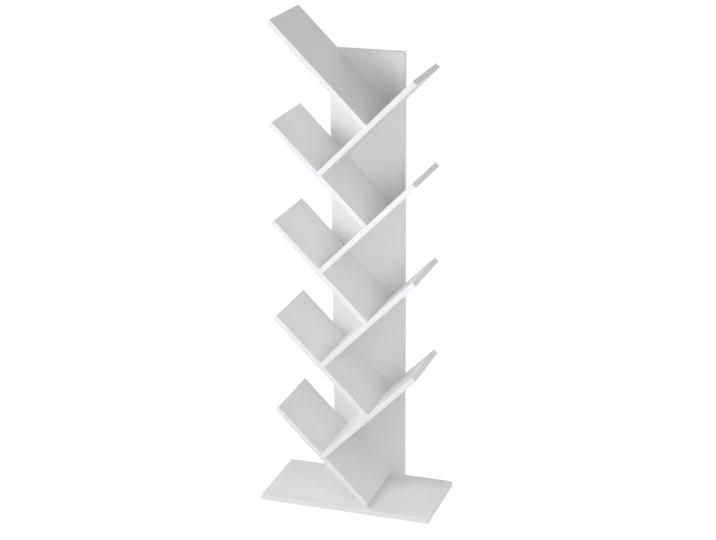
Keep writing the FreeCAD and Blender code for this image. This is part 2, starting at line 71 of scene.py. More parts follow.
class Lie(Enum):
    """Ways in which a board lies, each with the direction that its broad side faces."""

    FLAT = (0.0, 0.0, 1.0)
    UPRIGHT = (0.0, 1.0, 0.0)
    LEANING_LEFT = (1.0, 0.0, 1.0)
    LEANING_RIGHT = (-1.0, 0.0, 1.0)

    @property
    def facing(self) -> Vector:
        """Direction of the broad side, with a length of one."""
        return Vector(self.value).normalized()


class Slot(Enum):
    """Names of material slots in the record; the script doesn't use them."""

    ZINC = "zinc_steel"
    BEECH = "beech"
    PLASTIC = "white_plastic"


class Length(Enum):
    """Which of a small solid's directions is its axis."""

    LONGEST = 0
    SHORTEST = 2


# Node trees

# Sockets of a Mix node that share a name, by number
MIX_FIRST_VALUE = 2
MIX_SECOND_VALUE = 3
MIX_FIRST_COLOUR = 6
MIX_SECOND_COLOUR = 7
MIXED_VALUE = 0
MIXED_COLOUR = 2


def opaque(colour: Colour) -> tuple[float, float, float, float]:
    """Add full opacity to a colour."""
    return (*colour, 1.0)


class NodeSheet:
    """Adds nodes to one node tree, with their settings and inputs."""

    def __init__(self, tree: NodeTree) -> None:
        """Work on a tree, from which any node is removed first.

        Args:
            tree: Node tree of a material, a world or a group.
        """
        self.tree = tree
        tree.nodes.clear()

    def add(self, kind: str, inputs: dict[str | int, object] | None = None, **settings: object) -> Node:
        """Add a node.

        Args:
            kind: Blender's name for the kind of node.
            inputs: Values or sockets for the node's inputs, by name or number.
            settings: Values for the node's own properties.

        Returns:
            The new node.
        """
        node = self.tree.nodes.new(kind)
        for name, value in settings.items():
            setattr(node, name, value)
        for name, value in (inputs or {}).items():
            if isinstance(value, NodeSocket):
                self.tree.links.new(value, node.inputs[name])
            else:
                node.inputs[name].default_value = value
        return node

    def math(self, operation: str, first: object, second: object = 0.0) -> NodeSocket:
        """Add a sum.

        Args:
            operation: Blender's name for the operation.
            first: First value or socket.
            second: Second value or socket.

        Returns:
            The result's socket.
        """
        return self.add("ShaderNodeMath", {0: first, 1: second}, operation=operation).outputs[0]

    def spread(self, value: NodeSocket, low: float, high: float) -> NodeSocket:
        """Spread a value from 0 to 1 over a range.

        Args:
            value: Socket with the value.
            low: Result at 0.
            high: Result at 1.

        Returns:
            The result's socket.
        """
        inputs = {"Value": value, "To Min": low, "To Max": high}
        return self.add("ShaderNodeMapRange", inputs).outputs["Result"]

    def mask(self, value: NodeSocket, start: float, end: float) -> NodeSocket:
        """Turn a value into a mask that rises from 0 to 1.

        Args:
            value: Socket with the value.
            start: Value at which the mask starts to rise.
            end: Value at which the mask is full.

        Returns:
            The mask's socket.
        """
        inputs = {"Value": value, "From Min": start, "From Max": end}
        return self.add("ShaderNodeMapRange", inputs).outputs["Result"]

    def blend(self, share: NodeSocket, first: object, second: object) -> NodeSocket:
        """Mix two colours.

        Args:
            share: Socket with the second colour's share.
            first: Colour or socket at 0.
            second: Colour or socket at 1.

        Returns:
            The mixed colour's socket.
        """
        mix = self.add("ShaderNodeMix", {"Factor": share}, data_type="RGBA")
        for number, value in ((MIX_FIRST_COLOUR, first), (MIX_SECOND_COLOUR, second)):
            if isinstance(value, NodeSocket):
                self.tree.links.new(value, mix.inputs[number])
            else:
                mix.inputs[number].default_value = opaque(value)
        return mix.outputs[MIXED_COLOUR]

    def choose(self, share: NodeSocket, first: object, second: object) -> NodeSocket:
        """Mix two values.

        Args:
            share: Socket with the second value's share.
            first: Value or socket at 0.
            second: Value or socket at 1.

        Returns:
            The mixed value's socket.
        """
        inputs = {"Factor": share, MIX_FIRST_VALUE: first, MIX_SECOND_VALUE: second}
        return self.add("ShaderNodeMix", inputs, data_type="FLOAT").outputs[MIXED_VALUE]

    def places(self) -> NodeSocket:
        """Add the coordinates of the piece's own frame."""
        return self.add("ShaderNodeTexCoord").outputs["Object"]

    def stretched(self, vector: NodeSocket, sizes: tuple[float, float, float]) -> NodeSocket:
        """Stretch coordinates.

        Args:
            vector: Socket with the coordinates.
            sizes: Factor in each direction.

        Returns:
            The stretched coordinates' socket.
        """
        return self.add("ShaderNodeMapping", {"Vector": vector, "Scale": sizes}).outputs[0]

    def noise(
        self, vector: NodeSocket, scale: object, detail: float, distortion: float = 0.0
    ) -> NodeSocket:
        """Add a noise from 0 to 1.

        Args:
            vector: Socket with the coordinates.
            scale: Value or socket of the scale.
            detail: Number of finer layers.
            distortion: How far the noise is bent.

        Returns:
            The noise's socket.
        """
        inputs = {"Vector": vector, "Scale": scale, "Detail": detail, "Distortion": distortion}
        return self.add("ShaderNodeTexNoise", inputs).outputs["Fac"]

    def relief(self, height: NodeSocket) -> NodeSocket:
        """Add a bump from a height in metres.

        Args:
            height: Socket with the height.

        Returns:
            The normal's socket.
        """
        return self.add("ShaderNodeBump", {"Height": height, "Distance": 1.0}).outputs["Normal"]


def shared_group(
    name: str, inputs: dict[str, float], outputs: Sequence[str]
) -> tuple[NodeTree, NodeSheet, Node]:
    """Start a shader node group with number sockets.

    Args:
        name: Name of the group.
        inputs: Default value of each input.
        outputs: Names of the outputs.

    Returns:
        The group, its sheet and the node that holds its inputs.
    """
    group = bpy.data.node_groups.new(name, "ShaderNodeTree")
    for label, value in inputs.items():
        socket = group.interface.new_socket(label, in_out="INPUT", socket_type="NodeSocketFloat")
        socket.default_value = value
    for label in outputs:
        group.interface.new_socket(label, in_out="OUTPUT", socket_type="NodeSocketFloat")
    sheet = NodeSheet(group)
    return group, sheet, sheet.add("NodeGroupInput")


@dataclass(frozen=True)
class FineSurface:
    """Pressed texture and slow unevenness of a factory surface."""

    texture_size: float = 0.6 * MILLIMETRE
    texture_depth: float = 0.01 * MILLIMETRE
    texture_detail: float = 2.0
    drift_size: float = 100.0 * MILLIMETRE
    drift_detail: float = 4.0
    drift_distortion: float = 0.4

    def group(self) -> NodeTree:
        """Make the node group.

        Returns:
            A group that gives a height in metres and a value from 0 to 1 that drifts over the surface.
        """
        inputs = {
            "Texture Size": self.texture_size,
            "Texture Depth": self.texture_depth,
            "Drift Size": self.drift_size,
        }
        group, sheet, given = shared_group("fine surface", inputs, ("Height", "Drift"))
        places = sheet.places()
        texture_scale = sheet.math("DIVIDE", 1.0, given.outputs["Texture Size"])
        drift_scale = sheet.math("DIVIDE", 1.0, given.outputs["Drift Size"])
        texture = sheet.noise(places, texture_scale, self.texture_detail)
        height = sheet.math("MULTIPLY", texture, given.outputs["Texture Depth"])
        drift = sheet.noise(places, drift_scale, self.drift_detail, self.drift_distortion)
        sheet.add("NodeGroupOutput", {"Height": height, "Drift": drift})
        return group


@dataclass(frozen=True)
class RubMarks:
    """Faint streaks that wiping and handling leave, in two crossing directions."""

    streak_size: float = 4.0 * MILLIMETRE
    amount: float = 0.5
    slant: tuple[float, float, float] = (0.3, 0.9, 0.5)
    stretches: tuple[tuple[float, float, float], ...] = ((1.0, 0.06, 0.3), (0.05, 1.0, 0.4))
    detail: float = 2.0
    faint: float = 0.6
    full: float = 0.8

    def group(self) -> NodeTree:
        """Make the node group.

        Returns:
            A group that gives a mask of streaks.
        """
        group, sheet, given = shared_group("rub marks", {"Amount": self.amount}, ("Mask",))
        scale = 1.0 / self.streak_size
        turned = {"Vector": sheet.places(), "Rotation": self.slant}
        slanted = sheet.add("ShaderNodeMapping", turned).outputs["Vector"]
        across, along = (
            sheet.noise(sheet.stretched(slanted, stretch), scale, self.detail) for stretch in self.stretches
        )
        streaks = sheet.mask(sheet.math("MAXIMUM", across, along), self.faint, self.full)
        mask = sheet.math("MULTIPLY", streaks, given.outputs["Amount"])
        sheet.add("NodeGroupOutput", {"Mask": mask})
        return group


@dataclass(frozen=True)
class SharedEffects:
    """Node groups that more than one finish uses."""

    fine_surface: NodeTree
    rub_marks: NodeTree

    @classmethod
    def make(cls) -> "SharedEffects":
        """Make each group once."""
        return cls(FineSurface().group(), RubMarks().group())


# Finishes


@dataclass(frozen=True)
class Skin:
    """What most finishes share: two near colours, a roughness and a fine texture."""

    light: Colour
    dark: Colour
    roughness: float
    roughness_drift: float
    texture_size: float
    texture_depth: float
    drift_size: float
    rub: float

    def nodes(self, sheet: NodeSheet, effects: SharedEffects) -> tuple[NodeSocket, NodeSocket, NodeSocket]:
        """Add the nodes of the skin to a material.

        Args:
            sheet: Sheet of the material.
            effects: Shared node groups.

        Returns:
            Sockets with the colour, the roughness and the height in metres.
        """
        sizes = {
            "Texture Size": self.texture_size,
            "Texture Depth": self.texture_depth,
            "Drift Size": self.drift_size,
        }
        surface = sheet.add("ShaderNodeGroup", sizes, node_tree=effects.fine_surface)
        marks = sheet.add("ShaderNodeGroup", {"Amount": self.rub}, node_tree=effects.rub_marks)
        colour = sheet.blend(surface.outputs["Drift"], self.dark, self.light)
        low = self.roughness - self.roughness_drift
        high = self.roughness + self.roughness_drift
        drifting = sheet.spread(surface.outputs["Drift"], low, high)
        roughness = sheet.math("ADD", drifting, marks.outputs["Mask"])
        return colour, roughness, surface.outputs["Height"]


def start_material(name: str) -> tuple[Material, NodeSheet, Node]:
    """Make a material with a Principled surface.

    Args:
        name: Name of the material.

    Returns:
        The material, its sheet and its surface node.
    """
    material = bpy.data.materials.new(name)
    material.use_nodes = True
    sheet = NodeSheet(material.node_tree)
    surface = sheet.add("ShaderNodeBsdfPrincipled")
    sheet.add("ShaderNodeOutputMaterial", {"Surface": surface.outputs[0]})
    return material, sheet, surface


def feed(
    sheet: NodeSheet, surface: Node, colour: NodeSocket, roughness: NodeSocket, height: NodeSocket
) -> None:
    """Join a finish's results to its surface.

    Args:
        sheet: Sheet of the material.
        surface: Principled surface node.
        colour: Socket with the colour.
        roughness: Socket with the roughness.
        height: Socket with the height in metres.
    """
    sheet.tree.links.new(colour, surface.inputs["Base Color"])
    sheet.tree.links.new(roughness, surface.inputs["Roughness"])
    sheet.tree.links.new(sheet.relief(height), surface.inputs["Normal"])


@dataclass(frozen=True)
class FacedBoardFinish:
    """White melamine on the broad sides of particle board, whose chips show where it is cut or drilled."""

    facing: Skin = Skin(
        light=(0.906, 0.905, 0.904),
        dark=(0.887, 0.886, 0.885),
        roughness=0.40,
        roughness_drift=0.05,
        texture_size=0.7 * MILLIMETRE,
        texture_depth=0.004 * MILLIMETRE,
        drift_size=140.0 * MILLIMETRE,
        rub=0.05,
    )
    chip_light: Colour = (0.62, 0.47, 0.30)
    chip_dark: Colour = (0.36, 0.24, 0.13)
    chip_size: float = 2.2 * MILLIMETRE
    chip_depth: float = 0.15 * MILLIMETRE
    chip_roughness: float = 0.9
    least_facing: float = 0.95

    def material(self, lie: Lie, effects: SharedEffects) -> Material:
        """Make the finish of a board.

        Args:
            lie: How the board lies.
            effects: Shared node groups.

        Returns:
            The material.
        """
        material, sheet, surface = start_material(f"faced board {lie.name.lower().replace('_', ' ')}")
        colour, roughness, height = self.facing.nodes(sheet, effects)
        geometry = sheet.add("ShaderNodeNewGeometry")
        inputs = {0: geometry.outputs["True Normal"], 1: lie.facing}
        towards = sheet.add("ShaderNodeVectorMath", inputs, operation="DOT_PRODUCT")
        squareness = sheet.math("ABSOLUTE", towards.outputs["Value"])
        faced = sheet.math("GREATER_THAN", squareness, self.least_facing)
        chips = sheet.add("ShaderNodeTexVoronoi", {"Vector": sheet.places(), "Scale": 1.0 / self.chip_size})
        shade = sheet.add("ShaderNodeSeparateColor", {"Color": chips.outputs["Color"]}).outputs[0]
        chip_colour = sheet.blend(shade, self.chip_dark, self.chip_light)
        chip_height = sheet.math("MULTIPLY", chips.outputs["Distance"], self.chip_depth)
        feed(
            sheet,
            surface,
            sheet.blend(faced, chip_colour, colour),
            sheet.choose(faced, self.chip_roughness, roughness),
            sheet.choose(faced, chip_height, height),
        )
        return material


@dataclass(frozen=True)
class SkinFinish:
    """One skin all over."""

    name: str
    skin: Skin
    metallic: float = 0.0

    def material(self, effects: SharedEffects) -> Material:
        """Make the finish.

        Args:
            effects: Shared node groups.

        Returns:
            The material.
        """
        material, sheet, surface = start_material(self.name)
        surface.inputs["Metallic"].default_value = self.metallic
        feed(sheet, surface, *self.skin.nodes(sheet, effects))
        return material


WHITE_EDGING = SkinFinish(
    "white edging",
    Skin(
        light=(0.916, 0.915, 0.914),
        dark=(0.899, 0.898, 0.897),
        roughness=0.36,
        roughness_drift=0.05,
        texture_size=0.5 * MILLIMETRE,
        texture_depth=0.003 * MILLIMETRE,
        drift_size=50.0 * MILLIMETRE,
        rub=0.06,
    ),
)
ZINC_PLATE = SkinFinish(
    "zinc plated steel",
    Skin(
        light=(0.70, 0.71, 0.73),
        dark=(0.53, 0.54, 0.57),
        roughness=0.30,
        roughness_drift=0.09,
        texture_size=0.3 * MILLIMETRE,
        texture_depth=0.006 * MILLIMETRE,
        drift_size=3.0 * MILLIMETRE,
        rub=0.1,
    ),
    metallic=1.0,
)
WHITE_PLASTIC = SkinFinish(
    "moulded white plastic",
    Skin(
        light=(0.865, 0.865, 0.860),
        dark=(0.830, 0.830, 0.826),
        roughness=0.44,
        roughness_drift=0.05,
        texture_size=0.4 * MILLIMETRE,
        texture_depth=0.008 * MILLIMETRE,
        drift_size=12.0 * MILLIMETRE,
        rub=0.05,
    ),
)


@dataclass(frozen=True)
class BeechFinish:
    """Plain beech with its grain along a piece's own axis and the short flecks of its rays."""

    place_layer: str = "grain_place"
    light: Colour = (0.70, 0.51, 0.33)
    dark: Colour = (0.52, 0.34, 0.20)
    fleck: Colour = (0.38, 0.23, 0.13)
    grain_scale: float = 900.0
    grain_stretch: tuple[float, float, float] = (1.0, 1.0, 0.05)
    grain_detail: float = 5.0
    grain_distortion: float = 0.6
    fleck_scale: float = 1500.0
    fleck_stretch: tuple[float, float, float] = (1.0, 1.0, 0.18)
    fleck_detail: float = 1.0
    fleck_range: tuple[float, float] = (0.62, 0.72)
    roughness: tuple[float, float] = (0.55, 0.72)
    depth: float = 0.04 * MILLIMETRE

    def material(self) -> Material:
        """Make the finish.

        Returns:
            The material.
        """
        material, sheet, surface = start_material("beech")
        places = sheet.add("ShaderNodeAttribute", attribute_name=self.place_layer).outputs["Vector"]
        along_grain = sheet.stretched(places, self.grain_stretch)
        grain = sheet.noise(along_grain, self.grain_scale, self.grain_detail, self.grain_distortion)
        along_rays = sheet.stretched(places, self.fleck_stretch)
        flecks = sheet.mask(sheet.noise(along_rays, self.fleck_scale, self.fleck_detail), *self.fleck_range)
        wood = sheet.blend(grain, self.dark, self.light)
        feed(
            sheet,
            surface,
            sheet.blend(flecks, wood, self.fleck),
            sheet.spread(grain, *self.roughness),
            sheet.math("MULTIPLY", grain, self.depth),
        )
        return material


# Meshes


def turn(mesh: BMesh, profile: Profile, steps: int) -> None:
    """Spin a half profile round Z into a skin, which is open where the profile ends off the axis.

    Args:
        mesh: Mesh that takes the skin.
        profile: Radius and height of each corner, in order.
        steps: Number of sides.
    """
    corners = [mesh.verts.new((radius, 0.0, height)) for radius, height in profile]
    edges = [mesh.edges.new(pair) for pair in zip(corners, corners[1:])]
    bmesh.ops.spin(
        mesh,
        geom=corners + edges,
        cent=(0.0, 0.0, 0.0),
        axis=UP,
        angle=FULL_TURN,
        steps=steps,
        use_merge=True,
    )
    close_up(mesh)


def close_up(mesh: BMesh) -> None:
    """Merge corners that meet and point every face outwards.

    Args:
        mesh: Mesh to tidy.
    """
    bmesh.ops.remove_doubles(mesh, verts=mesh.verts, dist=MERGE_DISTANCE)
    bmesh.ops.recalc_face_normals(mesh, faces=mesh.faces)


def close_round_hexagon(mesh: BMesh, height: float, width: float, rise: float) -> None:
    """Close an open circle with a flat face that has a hexagon socket or peg in its middle.

    Args:
        mesh: Mesh with one open circle.
        height: Height of the circle.
        width: Width of the hexagon across its flats.
        rise: How far the end of the socket or peg lies above the circle.
    """
    circle = [edge for edge in mesh.edges if edge.is_boundary]
    bmesh.ops.create_circle(
        mesh, segments=6, radius=width / math.sqrt(3.0), matrix=Matrix.Translation(UP * height)
    )
    hexagon = [edge for edge in mesh.edges if edge.is_wire]
    bmesh.ops.bridge_loops(mesh, edges=circle + hexagon)
    walls = bmesh.ops.extrude_edge_only(mesh, edges=hexagon)["geom"]
    end = [item for item in walls if isinstance(item, BMVert)]
    bmesh.ops.translate(mesh, verts=end, vec=UP * rise)
    bmesh.ops.contextual_create(mesh, geom=end)
    bmesh.ops.recalc_face_normals(mesh, faces=mesh.faces)


def round_rim(mesh: BMesh, height: float, radius: float, width: float, segments: int) -> None:
    """Round the sharp circle at a height and a radius.

    Args:
        mesh: Mesh with the circle.
        height: Height of the circle.
        radius: Radius of the circle.
        width: Width of the rounding.
        segments: Number of faces across the rounding.
    """
    rim = [
        edge
        for edge in mesh.edges
        if all(
            abs(corner.co.z - height) < MERGE_DISTANCE
            and abs(corner.co.xy.length - radius) < MERGE_DISTANCE
            for corner in edge.verts
        )
    ]
    bmesh.ops.bevel(
        mesh, geom=rim, offset=width, affect="EDGES", segments=segments, profile=0.5, material=-1
    )


def finished_mesh(mesh: BMesh, name: str) -> Mesh:
    """Turn a working mesh into a finished one with smooth rounds and sharp corners.

    Args:
        mesh: Working mesh, which is freed.
        name: Name of the finished mesh.

    Returns:
        The finished mesh.
    """
    finished = bpy.data.meshes.new(name)
    mesh.to_mesh(finished)
    mesh.free()
    finished.shade_smooth()
    finished.set_sharp_from_angle(angle=SMOOTH_ANGLE)
    return finished


def solids_of(node: str) -> list[np.ndarray]:
    """Split a CAD node into its separate solids.

    Args:
        node: Name of the node.

    Returns:
        The corner points of each solid.
    """
    mesh = bmesh.new()
    mesh.from_mesh(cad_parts[node].data)
    bmesh.ops.remove_doubles(mesh, verts=mesh.verts, dist=MERGE_DISTANCE)
    solids: list[np.ndarray] = []
    for first in mesh.verts:
        if first.tag:
            continue
        first.tag = True
        reached: list[BMVert] = [first]
        for corner in reached:
            for edge in corner.link_edges:
                neighbour = edge.other_vert(corner)
                if not neighbour.tag:
                    neighbour.tag = True
                    reached.append(neighbour)
        solids.append(np.array([corner.co for corner in reached]))
    mesh.free()
    return solids


def seats_of(node: str, length: Length) -> list[Matrix]:
    """Find where each small round solid of a CAD node sits.

    Args:
        node: Name of the node.
        length: Which of a solid's directions is its axis.

    Returns:
        A place for each solid, with its wider end at the origin and its axis along Z.
    """
    seats = []
    for points in solids_of(node):
        middle = points.mean(axis=0)
        axis = np.linalg.svd(points - middle)[2][length.value]
        heights = (points - middle) @ axis
        widths = np.linalg.norm(points - middle - np.outer(heights, axis), axis=1)
        lower_width = widths[heights < heights.min() + END_SLICE].max()
        upper_width = widths[heights > heights.max() - END_SLICE].max()
        if upper_width > lower_width:
            axis, heights = -axis, -heights
        start = Vector(middle + axis * heights.min())
        turned = Vector(axis).to_track_quat("Z", "Y").to_matrix().to_4x4()
        seats.append(Matrix.Translation(start) @ turned)
    return seats


def copies_at(template: Mesh, seats: Sequence[Matrix], name: str) -> Object:
    """Set a copy of a small piece at each place.

    Args:
        template: The piece, with its first end at the origin and its axis along Z.
        seats: The places.
        name: Name of the piece that holds all copies.

    Returns:
        The piece.
    """
    mesh = bmesh.new()
    for seat in seats:
        before = len(mesh.verts)
        mesh.from_mesh(template)
        mesh.verts.ensure_lookup_table()
        bmesh.ops.transform(mesh, matrix=seat, verts=mesh.verts[before:])
    piece = bpy.data.objects.new(name, finished_mesh(mesh, name))
    bpy.context.scene.collection.objects.link(piece)
    return piece


def stand_for(piece: Object, nodes: Sequence[str], material: Material) -> None:
    """Finish a new piece that takes the place of CAD nodes.

    Args:
        piece: The new piece.
        nodes: CAD nodes that it stands for.
        material: Its finish.
    """
    piece.data.materials.clear()
    piece.data.materials.append(material)
    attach(piece, ROOT_BODY)
    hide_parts(*nodes)
    LOG.info("%s: %d faces, %s", piece.name, len(piece.data.polygons), material.name)


def dress_node(node: str, material: Material) -> None:
    """Give a CAD node its finish.

    Args:
        node: Name of the node.
        material: Its finish.
    """
    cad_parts[node].material_slots[0].material = material
    LOG.info("%s: %s", node, material.name)


# Pieces


@dataclass(frozen=True)
class EdgedBoard:
    """A faced panel and the strips glued to its edges, as they come from the CAD model."""

    panel: str
    lie: Lie

    @property
    def edging(self) -> str:
        """Name of the node with the strips."""
        return f"{self.panel.removesuffix('_panel')}_edging"

    def dress(self, faced: Material, edged: Material) -> None:
        """Give the panel and its strips their finishes.

        Args:
            faced: Finish of the panel.
            edged: Finish of the strips.
        """
        dress_node(self.panel, faced)
        dress_node(self.edging, edged)


def boards() -> list[EdgedBoard]:
    """Find the boards of the CAD model, with how each lies.

    Returns:
        The base, the upright and the shelves.
    """
    found = [EdgedBoard("base_panel", Lie.FLAT), EdgedBoard("upright_panel", Lie.UPRIGHT)]
    for node in sorted(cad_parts):
        if "_shelf_" in node and not node.endswith("_edging"):
            lie = Lie.LEANING_LEFT if node.startswith("left") else Lie.LEANING_RIGHT
            found.append(EdgedBoard(node, lie))
    return found


@dataclass(frozen=True)
class Screw:
    """Countersunk screw with a hexagon socket, a smooth neck and a coarse thread."""

    length: float = 50.0 * MILLIMETRE
    head_diameter: float = 10.0 * MILLIMETRE
    neck_diameter: float = 6.4 * MILLIMETRE
    core_diameter: float = 4.6 * MILLIMETRE
    neck_length: float = 12.0 * MILLIMETRE
    point_length: float = 4.0 * MILLIMETRE
    point_diameter: float = 3.0 * MILLIMETRE
    thread_pitch: float = 3.0 * MILLIMETRE
    thread_foot: float = 1.1 * MILLIMETRE
    thread_sink: float = 0.1 * MILLIMETRE
    socket_width: float = 4.0 * MILLIMETRE
    socket_depth: float = 2.6 * MILLIMETRE
    head_rounding: float = 0.25 * MILLIMETRE
    sides: int = 24
    thread_steps: int = 18

    def template(self) -> Mesh:
        """Build one screw with the middle of its head at the origin, pointing up.

        Returns:
            The mesh.
        """
        mesh = bmesh.new()
        self.turn_body(mesh)
        close_round_hexagon(mesh, 0.0, self.socket_width, self.socket_depth)
        self.wind_thread(mesh)
        return finished_mesh(mesh, "screw")

    def turn_body(self, mesh: BMesh) -> None:
        """Add the head, neck, core and point, open at the head's flat side.

        Args:
            mesh: Mesh of the screw.
        """
        head = self.head_diameter / 2.0
        neck = self.neck_diameter / 2.0
        core = self.core_diameter / 2.0
        shoulder = self.neck_length + neck - core
        profile = [
            (head - self.head_rounding, 0.0),
            (head, self.head_rounding),
            (neck, head - neck + self.head_rounding),
            (neck, self.neck_length),
            (core, shoulder),
            (core, self.length - self.point_length),
            (self.point_diameter / 2.0, self.length),
            (0.0, self.length),
        ]
        turn(mesh, profile, self.sides)

    def wind_thread(self, mesh: BMesh) -> None:
        """Wind a ridge round the core, fading into it at both ends.

        Args:
            mesh: Mesh of the screw.
        """
        root = self.core_diameter / 2.0 - self.thread_sink
        crest = self.neck_diameter / 2.0
        start = self.neck_length + self.thread_pitch
        turns = math.floor((self.length - self.point_length - start) / self.thread_pitch)
        half = self.thread_foot / 2.0
        corners = [
            mesh.verts.new((root, 0.0, start - half)),
            mesh.verts.new((crest, 0.0, start)),
            mesh.verts.new((root, 0.0, start + half)),
        ]
        first = mesh.faces.new(corners)
        steps = turns * self.thread_steps
        wound = bmesh.ops.spin(
            mesh,
            geom=[first, *first.edges, *corners],
            cent=(0.0, 0.0, 0.0),
            axis=UP,
            dvec=UP * (self.thread_pitch / self.thread_steps),
            angle=FULL_TURN * turns,
            steps=steps,
        )
        last = [item for item in wound["geom_last"] if isinstance(item, BMVert)]
        for end in (corners, last):
            for vertex in end:
                vertex.co.xy *= root / vertex.co.xy.length
        bmesh.ops.recalc_face_normals(mesh, faces=mesh.faces)


@dataclass(frozen=True)
class Dowel:
    """Wooden dowel with straight flutes and chamfered ends."""

    diameter: float = 8.0 * MILLIMETRE
    length: float = 30.0 * MILLIMETRE
    chamfer: float = 1.0 * MILLIMETRE
    flutes: int = 20
    flute_depth: float = 0.3 * MILLIMETRE
    place_layer: str = BeechFinish.place_layer

    def template(self) -> Mesh:
        """Build one dowel with an end at the origin, pointing up.

        Returns:
            The mesh.
        """
        mesh = bmesh.new()
        ring = bmesh.ops.create_circle(
            mesh, cap_ends=True, segments=2 * self.flutes, radius=self.diameter / 2.0 - self.chamfer
        )["verts"]
        end = ring[0].link_faces[0]
        body = self.length - 2.0 * self.chamfer
        end = self.raise_end(mesh, end, self.chamfer, self.chamfer)
        self.cut_flutes(end.verts)
        end = self.raise_end(mesh, end, body, 0.0)
        self.raise_end(mesh, end, self.chamfer, -self.chamfer)
        layer = mesh.verts.layers.float_vector.new(self.place_layer)
        for vertex in mesh.verts:
            vertex[layer] = vertex.co
        bmesh.ops.recalc_face_normals(mesh, faces=mesh.faces)
        return finished_mesh(mesh, "dowel")

    def raise_end(self, mesh: BMesh, end: BMFace, rise: float, spread: float) -> BMFace:
        """Extend the dowel at its upper end.

        Args:
            mesh: Mesh of the dowel.
            end: Its upper end.
            rise: How much longer it gets.
            spread: How much wider it gets there.

        Returns:
            The new upper end.
        """
        # With its edges given too, the old end doesn't stay behind inside the dowel
        raised = bmesh.ops.extrude_face_region(mesh, geom=[end, *end.edges])["geom"]
        for vertex in (item for item in raised if isinstance(item, BMVert)):
            vertex.co.z += rise
            vertex.co.xy *= 1.0 + spread / vertex.co.xy.length
        return next(item for item in raised if isinstance(item, BMFace))

    def cut_flutes(self, ring: Sequence[BMVert]) -> None:
        """Draw in every other corner of a ring.

        Args:
            ring: Corners of the ring, in order.
        """
        for vertex in list(ring)[::2]:
            vertex.co.xy *= 1.0 - self.flute_depth / vertex.co.xy.length


@dataclass(frozen=True)
class ScrewCap:
    """Moulded cap over a screw's head, slightly domed, with a hexagon peg for the socket."""

    diameter: float = 13.0 * MILLIMETRE
    thickness: float = 1.2 * MILLIMETRE
    crown: float = 0.25 * MILLIMETRE
    flat_radius: float = 3.4 * MILLIMETRE
    rim_rounding: float = 0.45 * MILLIMETRE
    rim_segments: int = 4
    peg_width: float = 3.8 * MILLIMETRE
    peg_length: float = 2.0 * MILLIMETRE
    sides: int = 40

    def template(self) -> Mesh:
        """Build one cap with the middle of its crown at the origin, its peg pointing up.

        Returns:
            The mesh.
        """
        mesh = bmesh.new()
        rim = self.diameter / 2.0
        profile = [
            (0.0, 0.0),
            (self.flat_radius, self.crown * (self.flat_radius / rim) ** 2),
            (rim, self.crown),
            (rim, self.thickness),
        ]
        turn(mesh, profile, self.sides)
        close_round_hexagon(mesh, self.thickness, self.peg_width, self.peg_length)
        round_rim(mesh, self.crown, rim, self.rim_rounding, self.rim_segments)
        return finished_mesh(mesh, "screw_cap")


@dataclass(frozen=True)
class Glide:
    """Floor glide moulded round the head of its nail, with a rounded sole and a ring groove."""

    height: float = 5.0 * MILLIMETRE
    diameter: float = 22.0 * MILLIMETRE
    sole_diameter: float = 18.0 * MILLIMETRE
    taper_height: float = 2.4 * MILLIMETRE
    groove_radius: float = 5.0 * MILLIMETRE
    groove_width: float = 0.8 * MILLIMETRE
    groove_depth: float = 0.4 * MILLIMETRE
    nail_hole_diameter: float = 2.3 * MILLIMETRE
    nail_head_diameter: float = 7.0 * MILLIMETRE
    nail_head_thickness: float = 1.2 * MILLIMETRE
    nail_head_cover: float = 2.4 * MILLIMETRE
    rounding: float = 0.6 * MILLIMETRE
    rounding_segments: int = 3
    sides: int = 48

    def template(self) -> Mesh:
        """Build one glide with the middle of its sole at the origin.

        Returns:
            The mesh.
        """
        mesh = bmesh.new()
        sole = self.sole_diameter / 2.0
        side = self.diameter / 2.0
        inner = self.groove_radius - self.groove_width / 2.0
        outer = self.groove_radius + self.groove_width / 2.0
        hole = self.nail_hole_diameter / 2.0
        head = self.nail_head_diameter / 2.0
        head_top = self.nail_head_cover + self.nail_head_thickness
        profile = [
            (0.0, 0.0),
            (inner, 0.0),
            (inner, self.groove_depth),
            (outer, self.groove_depth),
            (outer, 0.0),
            (sole, 0.0),
            (side, self.taper_height),
            (side, self.height),
            (hole, self.height),
            (hole, head_top),
            (head, head_top),
            (head, self.nail_head_cover),
            (0.0, self.nail_head_cover),
        ]
        turn(mesh, profile, self.sides)
        round_rim(mesh, 0.0, sole, self.rounding, self.rounding_segments)
        round_rim(mesh, self.taper_height, side, self.rounding, self.rounding_segments)
        return finished_mesh(mesh, "glide")


